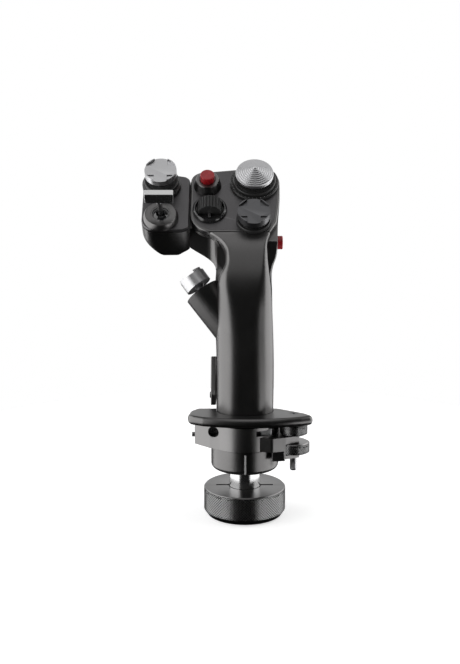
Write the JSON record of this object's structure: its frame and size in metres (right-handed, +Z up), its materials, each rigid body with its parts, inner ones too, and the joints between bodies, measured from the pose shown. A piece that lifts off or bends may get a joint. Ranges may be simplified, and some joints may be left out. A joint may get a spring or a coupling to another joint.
{
  "type": "flight joystick",
  "caption": "Flight stick grip with hat switches, toggle, thumb roller, buttons, trigger, paddle, sliding palm rest and a knurled quick-release ring.",
  "frame": {"origin": "on the grip's upright axis, at the mouth of the locking ring's thread, which is the ring's bottom face", "axes": "+Z up along the grip, -Y towards the pilot, +X to the pilot's right"},
  "size_m": [0.1076, 0.0835, 0.2248],
  "materials": {
    "black_metal": "satin anodised black",
    "panel_metal": "fine matt anodised black",
    "knurled_black": "black anodised, diamond knurled",
    "polished_steel": "polished steel",
    "silver_metal": "bead-blasted, clear anodised",
    "dark_metal": "bead-blasted, dark anodised",
    "inner_metal": "as turned",
    "red_plastic": "moulded red",
    "black_plastic": "moulded black",
    "gloss_black": "polished black",
    "steel": "machined steel",
    "gold_contact": "gold-plated contact",
    "circuit_green": "solder-resist green"
  },
  "bodies": {
    "grip": {"connector_shaft": "polished_steel", "plug_housing": "black_plastic", "plug_pins": "gold_contact", "lower_collar": "black_metal", "clamp_collar": "black_metal", "clamp_screw": "steel", "set_screw": "steel", "core_tube": "inner_metal", "front_shell": "black_metal", "rear_shell": "black_metal", "shell_screws": "steel", "head_panel": "panel_metal", "pod_housing": "black_metal", "pod_panel": "panel_metal", "pod_screws": "steel", "main_board": "circuit_green", "pod_board": "circuit_green", "wiring_harness": "black_plastic", "side_stalk": "black_metal", "brake_pin": "steel", "trigger_pin": "steel", "trigger_spring": "steel", "trigger_switch": "black_plastic", "left_hat_base": "black_plastic", "right_hat_base": "black_plastic", "cone_hat_base": "black_plastic", "side_hat_base": "black_plastic", "toggle_pin": "steel", "toggle_boss": "black_metal", "thumb_wheel_axle": "steel", "thumb_wheel_bezel": "gloss_black", "top_button_collar": "black_metal", "top_button_spring": "steel", "side_button_collar": "black_metal", "side_button_spring": "steel"},
    "ring_carrier": {"thrust_washer": "steel"},
    "coupling_ring": {"locking_ring": "knurled_black"},
    "adjuster": {"adjust_wheel": "knurled_black"},
    "locker": {"lock_wheel": "knurled_black"},
    "palm_rest": {"hand_rest": "black_metal", "hand_rest_screw": "dark_metal", "adjust_stud": "polished_steel"},
    "left_hat_frame": {"left_hat_gimbal": "inner_metal"},
    "left_hat": {"left_hat_cap": "silver_metal"},
    "right_hat_frame": {"right_hat_gimbal": "inner_metal"},
    "right_hat": {"right_hat_cap": "dark_metal"},
    "cone_hat_frame": {"cone_hat_gimbal": "inner_metal"},
    "cone_hat": {"cone_hat_cap": "silver_metal"},
    "side_hat_frame": {"side_hat_gimbal": "inner_metal"},
    "side_hat": {"side_hat_cap": "silver_metal"},
    "toggle": {"toggle_lever": "polished_steel"},
    "roller": {"thumb_wheel": "black_plastic"},
    "thumb_button": {"top_button": "red_plastic"},
    "flank_button": {"side_button": "red_plastic"},
    "trigger": {"trigger": "dark_metal"},
    "brake": {"brake_lever": "black_metal"}
  },
  "joints": [
    {"name": "ring_slide", "type": "slide", "parent": "grip", "child": "ring_carrier", "axis": [0, 0, 1], "range_m": [0, 0.012]},
    {"name": "ring_spin", "type": "hinge", "parent": "ring_carrier", "child": "coupling_ring", "pos_m": [0, 0, 0.009], "axis": [0, 0, 1], "continuous": true},
    {"name": "adjust_wheel_turn", "type": "hinge", "parent": "grip", "child": "adjuster", "pos_m": [0.0303, -0.01, 0.0449], "axis": [0, 0, 1], "range_deg": [0, 1800]},
    {"name": "hand_rest_height", "type": "slide", "parent": "grip", "child": "palm_rest", "axis": [0, 0, 1], "range_m": [0, 0.004]},
    {"name": "lock_wheel_turn", "type": "hinge", "parent": "grip", "child": "locker", "pos_m": [0.0303, -0.01, 0.0568], "axis": [0, 0, 1], "range_deg": [0, 360]},
    {"name": "left_hat_tilt_up", "type": "hinge", "parent": "grip", "child": "left_hat_frame", "pos_m": [-0.053, 0.03125, 0.20608], "axis": [1, 0, 0], "range_deg": [-8, 8], "stiffness_Nm_per_rad": 0.05},
    {"name": "left_hat_tilt_side", "type": "hinge", "parent": "left_hat_frame", "child": "left_hat", "pos_m": [-0.053, 0.03125, 0.20608], "axis": [0, 0.6947, 0.7193], "range_deg": [-8, 8], "stiffness_Nm_per_rad": 0.05},
    {"name": "right_hat_tilt_up", "type": "hinge", "parent": "grip", "child": "right_hat_frame", "pos_m": [0.0053, 0.01097, 0.18508], "axis": [1, 0, 0], "range_deg": [-8, 8], "stiffness_Nm_per_rad": 0.05},
    {"name": "right_hat_tilt_side", "type": "hinge", "parent": "right_hat_frame", "child": "right_hat", "pos_m": [0.0053, 0.01097, 0.18508], "axis": [0, 0.6947, 0.7193], "range_deg": [-8, 8], "stiffness_Nm_per_rad": 0.05},
    {"name": "cone_hat_tilt_up", "type": "hinge", "parent": "grip", "child": "cone_hat_frame", "pos_m": [0.0062, 0.03278, 0.20767], "axis": [1, 0, 0], "range_deg": [-8, 8], "stiffness_Nm_per_rad": 0.05},
    {"name": "cone_hat_tilt_side", "type": "hinge", "parent": "cone_hat_frame", "child": "cone_hat", "pos_m": [0.0062, 0.03278, 0.20767], "axis": [0, 0.6947, 0.7193], "range_deg": [-8, 8], "stiffness_Nm_per_rad": 0.05},
    {"name": "side_hat_tilt_up", "type": "hinge", "parent": "grip", "child": "side_hat_frame", "pos_m": [-0.02569, 0.00371, 0.14144], "axis": [0.7934, 0, 0.6088], "range_deg": [-8, 8], "stiffness_Nm_per_rad": 0.05},
    {"name": "side_hat_tilt_side", "type": "hinge", "parent": "side_hat_frame", "child": "side_hat", "pos_m": [-0.02569, 0.00371, 0.14144], "axis": [0.178, 0.9563, -0.232], "range_deg": [-8, 8], "stiffness_Nm_per_rad": 0.05},
    {"name": "toggle_tilt", "type": "hinge", "parent": "grip", "child": "toggle", "pos_m": [-0.0525, 0.01149, 0.18778], "axis": [1, 0, 0], "range_deg": [-12, 12], "stiffness_Nm_per_rad": 0.06},
    {"name": "roller_turn", "type": "hinge", "parent": "grip", "child": "roller", "pos_m": [-0.0221, 0.01564, 0.19308], "axis": [0, 0.6947, 0.7193], "continuous": true},
    {"name": "top_button_press", "type": "slide", "parent": "grip", "child": "thumb_button", "axis": [0, 0.7193, -0.6947], "range_m": [0, 0.0015], "stiffness_N_per_m": 900, "springref_m": -0.001},
    {"name": "side_button_press", "type": "slide", "parent": "grip", "child": "flank_button", "axis": [-1, 0, 0], "range_m": [0, 0.0012], "stiffness_N_per_m": 900, "springref_m": -0.001},
    {"name": "trigger_pull", "type": "hinge", "parent": "grip", "child": "trigger", "pos_m": [0, 0.036, 0.181], "axis": [-1, 0, 0], "range_deg": [0, 12], "stiffness_Nm_per_rad": 0.3, "springref_deg": -11.46},
    {"name": "brake_squeeze", "type": "hinge", "parent": "grip", "child": "brake", "pos_m": [-0.0201, 0.0175, 0.073], "axis": [1, 0, 0], "range_deg": [0, 8], "stiffness_Nm_per_rad": 0.3, "springref_deg": -11.46}
  ],
  "couplings": [
    {"joint": "adjust_wheel_turn", "follows": "hand_rest_height", "rad_per_m": 7854}
  ]
}
